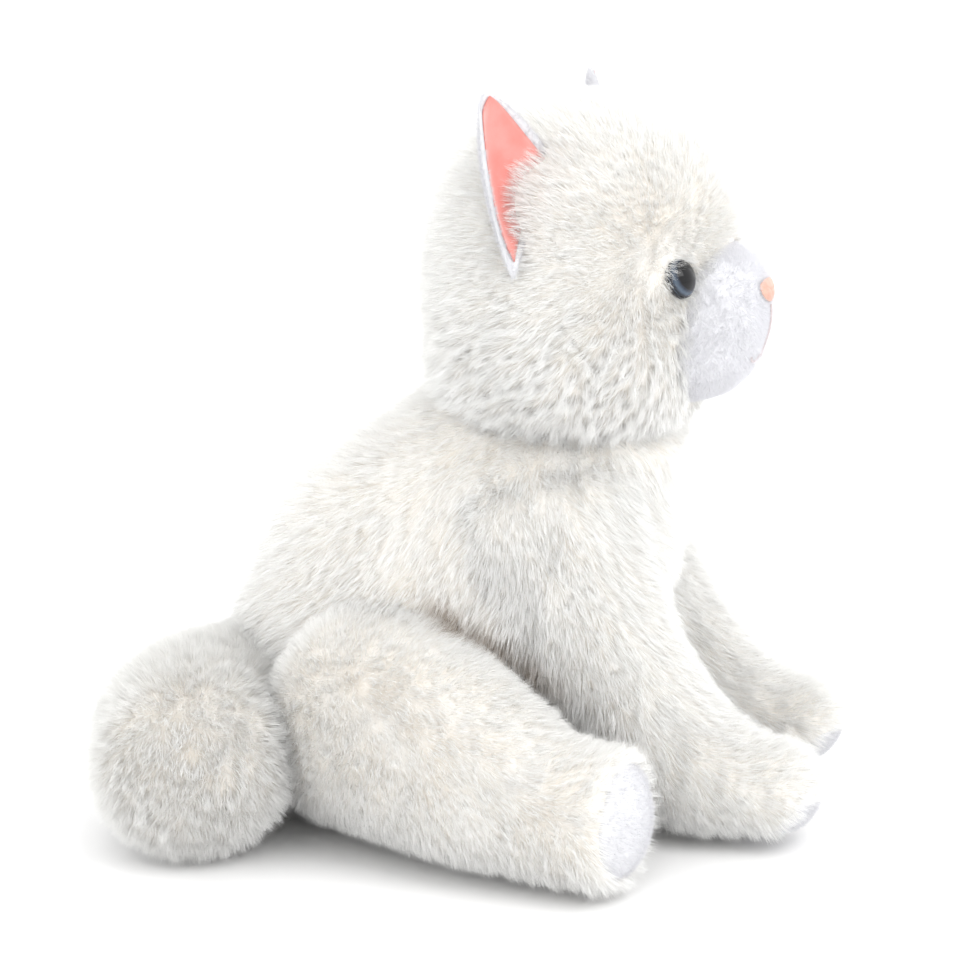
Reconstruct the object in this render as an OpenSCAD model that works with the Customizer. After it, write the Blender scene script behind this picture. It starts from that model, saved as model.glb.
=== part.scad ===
// Sitting long-pile plush cat. Millimetres. The cat faces -Y, +Z is up, its right side is -X.
// The origin is on the floor, under the middle of the seat.

/* [Show] */
// Which node is drawn

/* [Torso] */
// Width of the torso across the hips
torso_w = 136; // [124:1:164]
// Depth of the torso from belly to back
torso_d = 144; // [132:1:172]
// Height of the torso from the floor to the neck
torso_h = 150; // [140:1:180]

/* [Head] */
// Width of the head across the cheeks
head_w = 142; // [128:1:172]
// Depth of the head from forehead to nape
head_d = 108; // [98:1:130]
// Height of the head from chin to crown
head_h = 112; // [102:1:136]
// How far the head looks to the cat's right at rest, in degrees
head_rest_turn = 7.5; // [0:0.5:12]
// Width of the muzzle
muzzle_w = 60; // [52:1:70]
// Height of the muzzle
muzzle_h = 56; // [50:1:62]
// Width of the nose
nose_w = 14; // [10:0.5:20]

/* [Eyes] */
// Diameter of each eye
eye_d = 15.5; // [12:0.5:18]
// Height of the clear dome of each eye
eye_dome_h = 4.6; // [3:0.2:6]
// Diameter of the post behind each eye
eye_post_d = 4; // [3:0.5:6]

/* [Ears] */
// Height of each ear from its fold line to its tip
ear_h = 48; // [40:1:56]
// How far the ear panels bulge backwards
ear_cup = 8; // [4:0.5:10]
// Thickness of each ear panel
ear_panel_t = 2; // [1.5:0.1:2.6]

/* [Front legs] */
// Length of each front leg from shoulder to paw
front_leg_l = 123; // [112:1:148]
// Width of each front paw
front_paw_w = 43; // [36:1:52]
// Width of the chest between the two front legs
chest_w = 48; // [36:1:58]

/* [Hind legs] */
// Length of each hind leg from hip to sole
hind_leg_l = 144; // [130:1:174]
// Thickness of each thigh
thigh_d = 78; // [68:1:84]
// Width of each hind foot
hind_foot_w = 52; // [46:1:60]

/* [Tail] */
// Length of the curled tail, measured straight from root to tip
tail_l = 120; // [100:1:146]
// Thickness of the tail
tail_d = 74; // [64:1:76]

/* [Cloth] */
// Thickness of the pile fabric with its pile pressed down
cloth_t = 4; // [2:0.5:4.5]
// Thickness of the short-pile fabric
short_t = 2; // [1.5:0.1:3]
// Space between a cover and its stuffing
fill_gap = 0.4; // [0.3:0.1:1]
// Space between pieces that move against each other
joint_gap = 0.8; // [0.6:0.1:1.5]

/* [Hidden] */
sides = 24;
hip_x = 0.676 * torso_w / 2;
hip_y = 0.208 * torso_d / 2;
hip_z = 0.564 * thigh_d;
shoulder_y = -0.972 * torso_d / 2;
shoulder_z = 0.813 * torso_h;
shoulder_r = 0.22 * torso_h;
front_drop = 1.0293 * (shoulder_z - 2.5);
seat_x = chest_w / 2;
tail_z = 0.486 * tail_d;
tail_root_r = 0.27 * tail_d;
tail_swing = 45;
thigh_splay = 30;
back_r = max(0.917 * torso_d, 0.97 * torso_w) / 2;
tail_y = 0.8615 * back_r;
neck_y = -0.917 * torso_d / 2;
neck_ball_r = 24;
neck_space = 7;
head_z = torso_h + neck_space;
neck_z = head_z - 2;
muzzle_y = -44 * head_d / 108;
muzzle_d = 72;
muzzle_z = head_z + 8.5;
eye_x = 0.507 * head_w / 2;
eye_y = -0.935 * head_d / 2;
eye_z = head_z + 0.495 * head_h;
eye_out = 16;
eye_up = 22;
eye_flange_t = 1.4;
eye_disc_t = 0.5;
eye_post_l = 15;
eye_washer_d = 12.5;
eye_washer_t = 2;
touch = 0.1;
ear_root_r = 2.6;
ear_root_gap = 0.6;
ear_fold_back = 8;
ear_low = [1.065 * head_w / 2, -0.042 * head_d, head_z + 0.535 * head_h];
ear_high = [0.63 * head_w / 2, -0.065 * head_d, head_z + 0.905 * head_h];
ear_lean = [0.06, 0.34, 0.94];
nose_z = muzzle_z + 0.73 * muzzle_h;
thread_t = 0.9;
bag_h = 18;
bag_r = 0.2 * torso_w;
foot_bag_r = 0.25 * hind_foot_w;
big = 400;

// The sections of each form: [height, y, half width, half depth] for a stack, as shares of its size.
torso_rows = [
    [0, 0.055, 0.68, 0.58],
    [0.035, 0.03, 0.88, 0.765],
    [0.19, 0, 1, 0.917],
    [0.39, -0.07, 0.985, 0.986],
    [0.613, -0.236, 0.9, 1],
    [0.787, -0.43, 0.81, 0.958],
    [0.92, -0.65, 0.7, 0.79],
    [1, -0.79, 0.56, 0.583]
];
head_rows = [
    [0, -0.075, 0.22, 0.28],
    [0.03, -0.09, 0.56, 0.66],
    [0.125, -0.09, 0.845, 0.89],
    [0.305, -0.09, 1, 0.98],
    [0.52, -0.11, 1, 1],
    [0.725, -0.11, 0.873, 0.926],
    [0.875, -0.09, 0.634, 0.722],
    [0.973, -0.055, 0.338, 0.37],
    [1, -0.055, 0.09, 0.1]
];
muzzle_rows = [
    [0, 0, 0.47, 0.55],
    [0.045, -0.03, 0.69, 0.71],
    [0.205, -0.03, 0.9, 0.88],
    [0.475, -0.03, 1, 1],
    [0.74, -0.055, 0.98, 0.95],
    [0.92, -0.08, 0.84, 0.8],
    [1, -0.08, 0.5, 0.47]
];
// The stations of each limb: [side, y, z, half height, half width], as shares of its own sizes.
front_rows = [
    [0.06, 0.157, 0.217, 0.2, 0.18],
    [0.05, 0.133, 0.184, 0.6, 0.53],
    [0.04, 0.076, 0.106, 0.85, 0.88],
    [0.04, 0, 0, 1, 1],
    [0.08, -0.13, -0.203, 0.97, 0.94],
    [0.16, -0.215, -0.53, 0.86, 0.76],
    [0.18, -0.375, -0.745, 0.85, 0.64],
    [0.18, -0.56, -0.845, 0.83, 0.51],
    [0.18, -0.7, -0.862, 0.63, 0.41],
    [0.18, -0.76, -0.865, 0.2, 0.14]
];
hind_rows = [
    [-0.095, 0.18, 0, 0.12, 0.12],
    [-0.083, 0.158, 0, 0.42, 0.42],
    [-0.052, 0.1, 0, 0.68, 0.68],
    [0, 0, 0, 0.83, 0.8],
    [0.1, -0.125, 0.01, 1, 0.96],
    [0.2, -0.243, 0.005, 1, 0.95],
    [0.312, -0.424, -0.035, 0.885, 0.82],
    [0.382, -0.604, -0.08, 0.72, 0.7],
    [0.424, -0.764, -0.097, 0.7, 0.66],
    [0.444, -0.85, -0.097, 0.62, 0.57],
    [0.455, -0.883, -0.097, 0.4, 0.37],
    [0.458, -0.893, -0.097, 0.1, 0.1]
];
tail_rows = [
    [0, -0.13, 0, 0.12, 0.12],
    [-0.015, -0.09, 0, 0.5, 0.5],
    [-0.065, -0.01, 0.006, 0.76, 0.8],
    [-0.2, 0.075, 0.012, 0.87, 0.92],
    [-0.42, 0.09, 0.012, 0.9, 0.94],
    [-0.67, 0.05, 0.004, 0.88, 0.93],
    [-0.85, -0.005, -0.008, 0.81, 0.82],
    [-0.945, -0.04, -0.018, 0.57, 0.58],
    [-0.985, -0.055, -0.02, 0.14, 0.14]
];

pile_white = [0.93, 0.93, 0.91];
short_white = [0.9, 0.9, 0.93];
lining_pink = [0.93, 0.66, 0.63];
nose_peach = [0.9, 0.63, 0.53];
fill_white = [0.97, 0.97, 0.96];
bag_cloth = [0.85, 0.82, 0.74];
eye_blue = [0.42, 0.5, 0.6];
eye_black = [0.05, 0.05, 0.06];

// A smooth curve through the rows, at place t counted in rows.
function row_at(rows, k) =
    k < 0 ? 2 * rows[0] - rows[1]
    : k > len(rows) - 1 ? 2 * rows[len(rows) - 1] - rows[len(rows) - 2]
    : rows[k];
function blend_rows(a, b, c, d, u) =
    0.5 * (2 * b + (c - a) * u + (2 * a - 5 * b + 4 * c - d) * u * u
    + (3 * b - a - 3 * c + d) * u * u * u);
function place(rows, t) =
    let (k = min(floor(t), len(rows) - 2))
    blend_rows(row_at(rows, k - 1), row_at(rows, k), row_at(rows, k + 1), row_at(rows, k + 2), t - k);
function smooth_rows(rows, n) =
    [for (i = [0:n - 1]) place(rows, i * (len(rows) - 1) / (n - 1))];

// Level oval rings, one above the other.
function stack(rows, w, d, h, z, n) =
    [for (r = smooth_rows(rows, n))
        [for (j = [0:sides - 1])
            [
                r[2] * w / 2 * cos(j * 360 / sides),
                r[1] * d / 2 + r[3] * d / 2 * sin(j * 360 / sides),
                z + r[0] * h
            ]
        ]
    ];

function unit(v) = v / norm(v);
function middle(ring) = [for (k = [0:2]) [for (p = ring) p[k]] * [for (p = ring) 1]] / len(ring);

// Oval rings set square to a line of stations; side points along the first half width.
function tube(stations, side) =
    let (last = len(stations) - 1)
    [for (i = [0:last])
        let (
            s = stations[i],
            ahead = stations[min(i + 1, last)] - stations[max(i - 1, 0)],
            t = unit([ahead[0], ahead[1], ahead[2]]),
            u = unit(side - (t * side) * t),
            w = cross(t, u)
        )
        [for (j = [0:sides - 1])
            [s[0], s[1], s[2]] + s[3] * cos(j * 360 / sides) * u + s[4] * sin(j * 360 / sides) * w
        ]
    ];

// The same rings moved outwards by d, or inwards if d is negative.
function end_ring(ring, out, d) =
    let (c = middle(ring), r = norm(ring[0] - c), k = max(0.55, 1 + d / r))
    [for (p = ring) c + k * (p - c) + d * out];
function grown(rings, d) =
    let (
        last = len(rings) - 1,
        first_out = unit(middle(rings[0]) - middle(rings[1])),
        last_out = unit(middle(rings[last]) - middle(rings[last - 1]))
    )
    [for (i = [0:last])
        i == 0 ? end_ring(rings[0], first_out, d)
        : i == last ? end_ring(rings[last], last_out, d)
        : [for (j = [0:sides - 1])
            let (
                along = rings[i + 1][j] - rings[i - 1][j],
                round = rings[i][(j + 1) % sides] - rings[i][(j + sides - 1) % sides]
            )
            rings[i][j] + d * unit(cross(round, along))
        ]
    ];

module mesh(rings) {
    n = len(rings);
    m = len(rings[0]);
    polyhedron(
        points = [for (r = rings) each r],
        faces = concat(
            [[for (j = [0:m - 1]) j]],
            [[for (j = [0:m - 1]) (n - 1) * m + m - 1 - j]],
            [for (i = [0:n - 2]) for (j = [0:m - 1])
                [i * m + j, (i + 1) * m + j, i * m + (j + 1) % m]
            ],
            [for (i = [0:n - 2]) for (j = [0:m - 1])
                [(i + 1) * m + j, (i + 1) * m + (j + 1) % m, i * m + (j + 1) % m]
            ]
        )
    );
}

// Forms, each drawn inset by the given depth.
torso_rings = stack(torso_rows, torso_w, torso_d, torso_h, 0, 15);
head_rings = stack(head_rows, head_w, head_d, head_h, head_z, 15);
muzzle_rings = [for (r = stack(muzzle_rows, muzzle_w, muzzle_d, muzzle_h, muzzle_z, 11))
    [for (p = r) p + [0, muzzle_y, 0]]
];

function front_stations() =
    [for (r = smooth_rows(front_rows, 14))
        [
            seat_x + 6 + r[0] * 88,
            shoulder_y + r[1] * (r[1] < 0 ? front_leg_l : 0.82 * torso_h),
            shoulder_z + r[2] * front_drop,
            r[3] * (front_paw_w / 0.83 / 2),
            r[4] * shoulder_r
        ]
    ];
function hind_stations() =
    [for (r = smooth_rows(hind_rows, 16))
        let (thick = thigh_d / 2, foot = hind_foot_w / 2 / 0.66)
        let (share = min(1, max(0, -r[1] / 0.76)), half = thick + (foot - thick) * share)
        [
            hip_x + r[0] * hind_leg_l,
            hip_y + r[1] * hind_leg_l,
            hip_z + r[2] * thigh_d * 1.85 + (half - thick) * 0.35,
            r[3] * half,
            r[4] * half
        ]
    ];
function tail_stations() =
    [for (r = smooth_rows(tail_rows, 14))
        [
            r[0] * tail_l,
            tail_y + r[1] * tail_l,
            tail_z + r[2] * tail_l,
            r[3] * tail_d / 2,
            r[4] * tail_d / 2
        ]
    ];
front_rings = tube(front_stations(), [1, 0, 0]);
hind_rings = tube(hind_stations(), [0, 0, 1]);
tail_rings = tube(tail_stations(), [0, 0, 1]);

module on_side(left) {
    mirror([left ? 0 : 1, 0, 0])
        children();
}

module beyond_seat(inset) {
    translate([seat_x + inset, -big / 2, -1])
        cube([big, big, big]);
}

module front_leg_form(inset) {
    intersection() {
        mesh(grown(front_rings, -inset));
        beyond_seat(joint_gap / 2 + inset);
    }
}

module hind_leg_form(inset) {
    mesh(grown(hind_rings, -inset));
}

// The room that a front leg and its swing take out of the torso's side: behind the shoulder it
// follows the shoulder's round, and below it runs down behind the leg.
module front_leg_room(spare) {
    reach = 1.2 * front_leg_l;
    r = shoulder_r + 2.5 * joint_gap + spare;
    top = head_z - shoulder_z + spare;
    translate([seat_x - joint_gap / 2 - spare, shoulder_y, shoulder_z])
        rotate([90, 0, 90])
            linear_extrude(height = big / 2)
                polygon(concat(
                    [[-reach, top], [0, top]],
                    [for (a = [90:-14:-22]) [r * cos(a), r * sin(a)]],
                    [[0.8 * r, -0.62 * r], [0.8 * r - 0.3 * reach, -0.81 * reach]],
                    [[0.8 * r - 0.3 * reach, -big / 2], [-reach, -big / 2]]
                ));
}

// The room that a thigh takes, with enough to spare for its swing.
module hind_leg_room(spare) {
    mesh(grown(hind_rings, 5 * joint_gap + spare));
}

// The tail's root is an upright plug that turns in a pocket of the back.
module tail_plug(r, half) {
    translate([0, tail_y, tail_z - half])
        cylinder(r = r, h = 2 * half, $fn = 64);
}

module tail_pocket(spare) {
    tail_plug(tail_root_r + joint_gap + spare, 0.8 * tail_root_r + joint_gap + spare);
}

module neck_ball(spare) {
    translate([0, neck_y, neck_z])
        sphere(r = neck_ball_r + spare, $fn = 48);
}

// What the limbs, the tail and the neck take out of the torso.
module torso_rooms(spare) {
    for (left = [true, false])
        on_side(left) {
            front_leg_room(spare);
            hind_leg_room(spare);
        }
    tail_pocket(spare);
    neck_ball(joint_gap + spare);
}

// The head is drawn about the neck's axis and turned to its place.
module head_place() {
    translate([0, neck_y, 0])
        rotate([0, 0, -head_rest_turn])
            children();
}

module head_form(inset) {
    difference() {
        mesh(grown(head_rings, -inset));
        translate([0, 0, neck_z])
            sphere(r = neck_ball_r + joint_gap + inset, $fn = 48);
    }
}

module muzzle_form(inset) {
    difference() {
        mesh(grown(muzzle_rings, -inset));
        mesh(grown(head_rings, 0.3 + inset / 2));
    }
}

// An eye's own frame: +Z looks out of the face and z = 0 is the front of its flange.
module eye_place(left) {
    on_side(left)
        translate([eye_x, eye_y, eye_z])
            rotate([90 - eye_up, 0, eye_out])
                translate([0, 0, 4.4])
                    children();
}

module eye_dome(left) {
    ball_r = (eye_d * eye_d / 4 + eye_dome_h * eye_dome_h) / (2 * eye_dome_h);
    color([0.8, 0.85, 0.9, 0.5])
        head_place()
            eye_place(left)
                translate([0, 0, eye_disc_t + touch])
                    intersection() {
                        translate([0, 0, eye_dome_h - ball_r])
                            sphere(r = ball_r, $fn = 64);
                        cylinder(r = eye_d / 2 + 1, h = eye_dome_h + 1, $fn = 48);
                    }
}

module eye_iris(left) {
    color(eye_blue)
        head_place()
            eye_place(left)
                translate([0, 0, touch / 2])
                    cylinder(d = eye_d - 0.8, h = eye_disc_t, $fn = 48);
}

module eye_post(left) {
    color(eye_black)
        head_place()
            eye_place(left)
                union() {
                    translate([0, 0, -eye_flange_t])
                        cylinder(d = eye_d, h = eye_flange_t, $fn = 48);
                    translate([0, 0, -eye_flange_t - eye_post_l])
                        cylinder(d = eye_post_d, h = eye_post_l + touch, $fn = 32);
                    for (k = [0:3])
                        translate([0, 0, -eye_flange_t - 7 - 2 * k])
                            cylinder(d1 = eye_post_d, d2 = eye_post_d + 0.8, h = 1.2, $fn = 32);
                }
}

module eye_washer(left) {
    color(fill_white)
        head_place()
            eye_place(left)
                translate([0, 0, -eye_flange_t - 12.6])
                    difference() {
                        cylinder(d = eye_washer_d, h = eye_washer_t, $fn = 48);
                        translate([0, 0, -1])
                            cylinder(d = eye_post_d + 1.2, h = eye_washer_t + 2, $fn = 32);
                    }
}

module eye_room(left, wide) {
    eye_place(left)
        translate([0, 0, -eye_flange_t - eye_post_l - 1])
            cylinder(d = wide, h = eye_post_l + 1.2, $fn = 32);
}

// The pile cloth is pressed flat under an eye's flange.
module eye_seat(left) {
    eye_place(left)
        translate([0, 0, -eye_flange_t - touch])
            cylinder(d = eye_d + 2 * fill_gap, h = 3 * eye_flange_t, $fn = 48);
}

// The fold line of an ear, as a rod along +Z from its low end.
ear_line = ear_high - ear_low;
ear_line_l = norm(ear_line);
module ear_axis_place() {
    translate(ear_low)
        rotate([0, acos(ear_line[2] / ear_line_l), atan2(ear_line[1], ear_line[0])])
            children();
}

function ear_point(u, v, off) =
    let (
        b = ear_line / ear_line_l,
        up = unit(ear_lean),
        back = unit(cross(b, up)),
        wide = 0.97 * pow(max(1 - pow(v, 1.5), 0.004), 0.8) + 0.03
    )
    (ear_low + ear_high) / 2 + b * (u * wide * ear_line_l / 2 - 0.1 * v * ear_line_l)
    + up * (v * ear_h) + back * (off + ear_cup * (1 - u * u * 0.9) * sin(180 * pow(v, 0.8)) * 0.9);

function ear_sheet(v0, edge, off) =
    [for (i = [0:8])
        [for (j = [0:10])
            ear_point((j / 5 - 1) * edge, v0 + (0.99 - v0) * i / 8 * (edge + 1) / 2, off)
        ]
    ];

// A closed sheet between two grids of points.
module slab(a, b) {
    n = len(a);
    m = len(a[0]);
    s = n * m;
    rim = concat(
        [for (j = [0:m - 1]) j],
        [for (i = [1:n - 1]) i * m + m - 1],
        [for (j = [m - 2:-1:0]) (n - 1) * m + j],
        [for (i = [n - 2:-1:1]) i * m]
    );
    r = len(rim);
    polyhedron(
        points = concat([for (row = a) each row], [for (row = b) each row]),
        faces = concat(
            [for (i = [0:n - 2]) for (j = [0:m - 2]) [i * m + j, i * m + j + 1, (i + 1) * m + j]],
            [for (i = [0:n - 2]) for (j = [0:m - 2])
                [i * m + j + 1, (i + 1) * m + j + 1, (i + 1) * m + j]
            ],
            [for (i = [0:n - 2]) for (j = [0:m - 2])
                [s + i * m + j, s + (i + 1) * m + j, s + i * m + j + 1]
            ],
            [for (i = [0:n - 2]) for (j = [0:m - 2])
                [s + i * m + j + 1, s + (i + 1) * m + j, s + (i + 1) * m + j + 1]
            ],
            [for (k = [0:r - 1]) [rim[k], s + rim[k], rim[(k + 1) % r]]],
            [for (k = [0:r - 1]) [rim[(k + 1) % r], s + rim[k], s + rim[(k + 1) % r]]]
        )
    );
}

module ear_back(left) {
    color(short_white)
        head_place()
            on_side(left)
                union() {
                    slab(ear_sheet(0.02, 1, 0.2), ear_sheet(0.02, 1, 0.2 + ear_panel_t));
                    ear_axis_place()
                        translate([0, 0, 0.04 * ear_line_l])
                            cylinder(r = ear_root_r, h = 0.92 * ear_line_l, $fn = 32);
                }
}

module ear_lining(left) {
    color(lining_pink)
        head_place()
            on_side(left)
                slab(ear_sheet(0.12, 0.9, -0.2 - 0.8 * ear_panel_t), ear_sheet(0.12, 0.9, -0.2));
}

module ear_channel() {
    ear_axis_place()
        translate([0, 0, -4])
            cylinder(r = ear_root_r + ear_root_gap, h = ear_line_l + 8, $fn = 48);
}

// The room one ear takes in the head: its rod, and its panels at rest and folded back.
module ear_room() {
    ear_channel();
    for (angle = [0, ear_fold_back / 2, ear_fold_back])
        translate(ear_low)
            rotate(a = angle, v = ear_line)
                translate(-ear_low)
                    slab(
                        ear_sheet(0, 1.06, -0.2 - 0.8 * ear_panel_t - joint_gap),
                        ear_sheet(0, 1.06, 0.2 + ear_panel_t + joint_gap)
                    );
}

module body_cover() {
    color(pile_white)
        difference() {
            mesh(torso_rings);
            mesh(grown(torso_rings, -cloth_t));
            torso_rooms(0);
            back_seam_slot(touch);
        }
}

module body_stuffing() {
    color(fill_white)
        difference() {
            mesh(grown(torso_rings, -cloth_t - fill_gap));
            torso_rooms(fill_gap);
            seat_bag(fill_gap);
        }
}

module seat_bag(spare) {
    translate([0, 0, cloth_t + 3 * fill_gap - spare])
        rotate_extrude($fn = 64)
            union() {
                square([bag_r - bag_h / 2, bag_h + 2 * spare]);
                translate([bag_r - bag_h / 2, bag_h / 2 + spare])
                    intersection() {
                        circle(r = bag_h / 2 + spare, $fn = 48);
                        translate([-touch, -bag_h])
                            square([bag_h, 2 * bag_h]);
                    }
            }
}

module seat_pellet_bag() {
    color(bag_cloth)
        seat_bag(0);
}

// The hand-sewn closing seam runs up the middle of the back.
module back_seam_slot(spare) {
    translate([0, 0.9 * torso_d / 2, 0.6 * torso_h])
        cube([2 * thread_t + 2 * spare, torso_d, 0.3 * torso_h + 2 * spare], center = true);
}

module back_seam_thread() {
    color(short_white)
        intersection() {
            difference() {
                mesh(grown(torso_rings, -touch));
                mesh(grown(torso_rings, touch - cloth_t));
            }
            back_seam_slot(0);
        }
}

module neck_stuffing() {
    color(fill_white)
        neck_ball(0);
}

module head_cover() {
    color(pile_white)
        head_place()
            difference() {
                head_form(0);
                head_form(cloth_t);
                for (left = [true, false]) {
                    on_side(left)
                        ear_room();
                    eye_room(left, eye_post_d + 1.4);
                    eye_seat(left);
                }
            }
}

module head_stuffing() {
    color(fill_white)
        head_place()
            difference() {
                head_form(cloth_t + fill_gap);
                for (left = [true, false])
                    eye_room(left, eye_washer_d + 1);
            }
}

module muzzle_cover() {
    color(short_white)
        head_place()
            difference() {
                muzzle_form(0);
                muzzle_form(short_t);
            }
}

module muzzle_stuffing() {
    color(fill_white)
        head_place()
            muzzle_form(short_t + fill_gap);
}

// The embroidered nose, rounded below and straight above.
module nose() {
    color(nose_peach)
        head_place()
            intersection() {
                difference() {
                    mesh(grown(muzzle_rings, touch + 1.6));
                    mesh(grown(muzzle_rings, touch));
                }
                translate([0, muzzle_y, nose_z])
                    rotate([90, 0, 0])
                        linear_extrude(height = big)
                            hull() {
                                for (x = [-1, 1])
                                    translate([x * 0.34 * nose_w, 0.12 * nose_w])
                                        circle(r = 0.16 * nose_w, $fn = 24);
                                translate([0, -0.2 * nose_w])
                                    circle(r = 0.2 * nose_w, $fn = 24);
                            }
            }
}

module mouth_thread() {
    arc_r = 0.1 * muzzle_w;
    line_l = 0.36 * muzzle_h;
    color([0.86, 0.78, 0.77])
        head_place()
            intersection() {
                difference() {
                    mesh(grown(muzzle_rings, touch + thread_t));
                    mesh(grown(muzzle_rings, touch));
                }
                translate([0, muzzle_y, nose_z - 0.44 * nose_w])
                    rotate([90, 0, 0])
                        linear_extrude(height = big)
                            union() {
                                translate([-thread_t / 2, -line_l])
                                    square([thread_t, line_l]);
                                for (x = [-1, 1])
                                    translate([x * arc_r, -line_l])
                                        difference() {
                                            circle(r = arc_r + thread_t / 2, $fn = 48);
                                            circle(r = arc_r - thread_t / 2, $fn = 48);
                                            translate([-2 * arc_r, 0])
                                                square([4 * arc_r, 2 * arc_r]);
                                        }
                            }
            }
}

// A paw's short-pile sole takes the place of the cover in front of and under this block.
module front_sole_room(spare) {
    translate([0, shoulder_y - 0.5 * front_leg_l, 0])
        rotate([-30, 0, 0])
            translate([0, 0, -big / 2 + spare])
                cube([big, big, big], center = true);
}

module hind_sole_room(spare) {
    tip = hind_rings[len(hind_rings) - 1];
    translate(middle(tip))
        rotate([0, 0, 14])
            translate([0, -big / 2 + 7 + spare, 0])
                cube([big, big, 2 * big], center = true);
}

module front_leg_cover(left) {
    color(pile_white)
        on_side(left)
            difference() {
                front_leg_form(0);
                front_leg_form(cloth_t);
                front_sole_room(touch);
            }
}

module front_leg_stuffing(left) {
    color(fill_white)
        on_side(left)
            front_leg_form(cloth_t + fill_gap);
}

module front_sole(left) {
    color(short_white)
        on_side(left)
            intersection() {
                difference() {
                    front_leg_form(0);
                    front_leg_form(cloth_t);
                }
                front_sole_room(0);
            }
}

module hind_leg_cover(left) {
    color(pile_white)
        on_side(left)
            difference() {
                hind_leg_form(0);
                hind_leg_form(cloth_t);
                hind_sole_room(touch);
            }
}

module hind_foot_bag(spare) {
    at = hind_stations()[11];
    translate([at[0], at[1], at[2]])
        sphere(r = foot_bag_r + spare, $fn = 32);
}

module hind_leg_stuffing(left) {
    color(fill_white)
        on_side(left)
            difference() {
                hind_leg_form(cloth_t + fill_gap);
                hind_foot_bag(fill_gap);
            }
}

module hind_sole(left) {
    color(short_white)
        on_side(left)
            intersection() {
                difference() {
                    hind_leg_form(0);
                    hind_leg_form(cloth_t);
                }
                hind_sole_room(0);
            }
}

module foot_pellet_bag(left) {
    color(bag_cloth)
        on_side(left)
            hind_foot_bag(0);
}

// The tail is hollowed where the back would meet it on its way from one side to the middle, and
// where the thigh beside it would as it splays.
module tail_form(inset) {
    union() {
        difference() {
            mesh(grown(tail_rings, -inset));
            on_side(false)
                for (a = [0, thigh_splay / 2, thigh_splay])
                    translate([hip_x, hip_y, 0])
                        rotate([0, 0, a])
                            translate([-hip_x, -hip_y, 0])
                                mesh(grown(hind_rings, 1.5 * joint_gap + inset));
            for (a = [0, tail_swing / 2, tail_swing])
                translate([0, tail_y, 0])
                    rotate([0, 0, a])
                        translate([0, -tail_y, -1])
                            cylinder(r = back_r + 3 * joint_gap + 0.3 * inset, h = 2 * tail_d, $fn = 64);
        }
        tail_plug(tail_root_r - inset, 0.8 * tail_root_r - inset);
    }
}

module tail_bag(spare) {
    at = tail_stations()[8];
    translate([at[0], at[1], at[2]])
        sphere(r = 0.2 * tail_d + spare, $fn = 32);
}

module tail_cover() {
    color(pile_white)
        difference() {
            tail_form(0);
            tail_form(cloth_t);
        }
}

module tail_stuffing() {
    color(fill_white)
        difference() {
            tail_form(cloth_t + fill_gap);
            tail_bag(fill_gap);
        }
}

module tail_pellet_bag() {
    color(bag_cloth)
        tail_bag(0);
}

body_cover();
body_stuffing();
seat_pellet_bag();
back_seam_thread();
neck_stuffing();
head_cover();
head_stuffing();
muzzle_cover();
muzzle_stuffing();
nose();
mouth_thread();
eye_dome(false);  // eye_dome_right
eye_dome(true);  // eye_dome_left
eye_iris(false);  // eye_iris_right
eye_iris(true);  // eye_iris_left
eye_post(false);  // eye_post_right
eye_post(true);  // eye_post_left
eye_washer(false);  // eye_washer_right
eye_washer(true);  // eye_washer_left
ear_back(false);  // ear_back_right
ear_back(true);  // ear_back_left
ear_lining(false);  // ear_lining_right
ear_lining(true);  // ear_lining_left
front_leg_cover(false);  // front_leg_cover_right
front_leg_cover(true);  // front_leg_cover_left
front_leg_stuffing(false);  // front_leg_stuffing_right
front_leg_stuffing(true);  // front_leg_stuffing_left
front_sole(false);  // front_sole_right
front_sole(true);  // front_sole_left
hind_leg_cover(false);  // hind_leg_cover_right
hind_leg_cover(true);  // hind_leg_cover_left
hind_leg_stuffing(false);  // hind_leg_stuffing_right
hind_leg_stuffing(true);  // hind_leg_stuffing_left
hind_sole(false);  // hind_sole_right
hind_sole(true);  // hind_sole_left
foot_pellet_bag(false);  // foot_pellet_bag_right
foot_pellet_bag(true);  // foot_pellet_bag_left
tail_cover();
tail_stuffing();
tail_pellet_bag();
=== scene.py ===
import math
import bpy
import numpy as np
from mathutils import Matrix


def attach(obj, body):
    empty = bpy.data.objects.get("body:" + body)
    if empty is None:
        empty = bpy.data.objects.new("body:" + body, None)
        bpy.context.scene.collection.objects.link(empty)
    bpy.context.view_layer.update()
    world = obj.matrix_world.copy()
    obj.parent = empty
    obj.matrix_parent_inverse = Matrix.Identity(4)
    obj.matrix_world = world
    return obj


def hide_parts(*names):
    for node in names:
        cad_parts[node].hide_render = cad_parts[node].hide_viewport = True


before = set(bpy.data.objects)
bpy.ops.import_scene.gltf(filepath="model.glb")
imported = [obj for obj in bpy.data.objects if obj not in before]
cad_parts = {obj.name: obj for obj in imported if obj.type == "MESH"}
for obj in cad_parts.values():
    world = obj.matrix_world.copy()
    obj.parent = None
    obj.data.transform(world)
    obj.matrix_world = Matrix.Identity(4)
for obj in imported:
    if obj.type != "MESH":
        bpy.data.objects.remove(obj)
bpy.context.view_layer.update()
scene = bpy.context.scene
mm = 0.001

# what the whole toy shares: the pile reaches past each skin by about pileRise
toy = {
    "seed": 29,
    "pileRise": 6.0,
    "floorGap": 0.3,      # mm that the lowest pile keeps above the floor
    "weld": 22.0,         # mm over which two neighbouring forms run into each other
}


def unit(v):
    # each row divided by its length
    v = np.asarray(v, float)
    return v / np.maximum(np.linalg.norm(v, axis=-1, keepdims=True), 1e-12)


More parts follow.
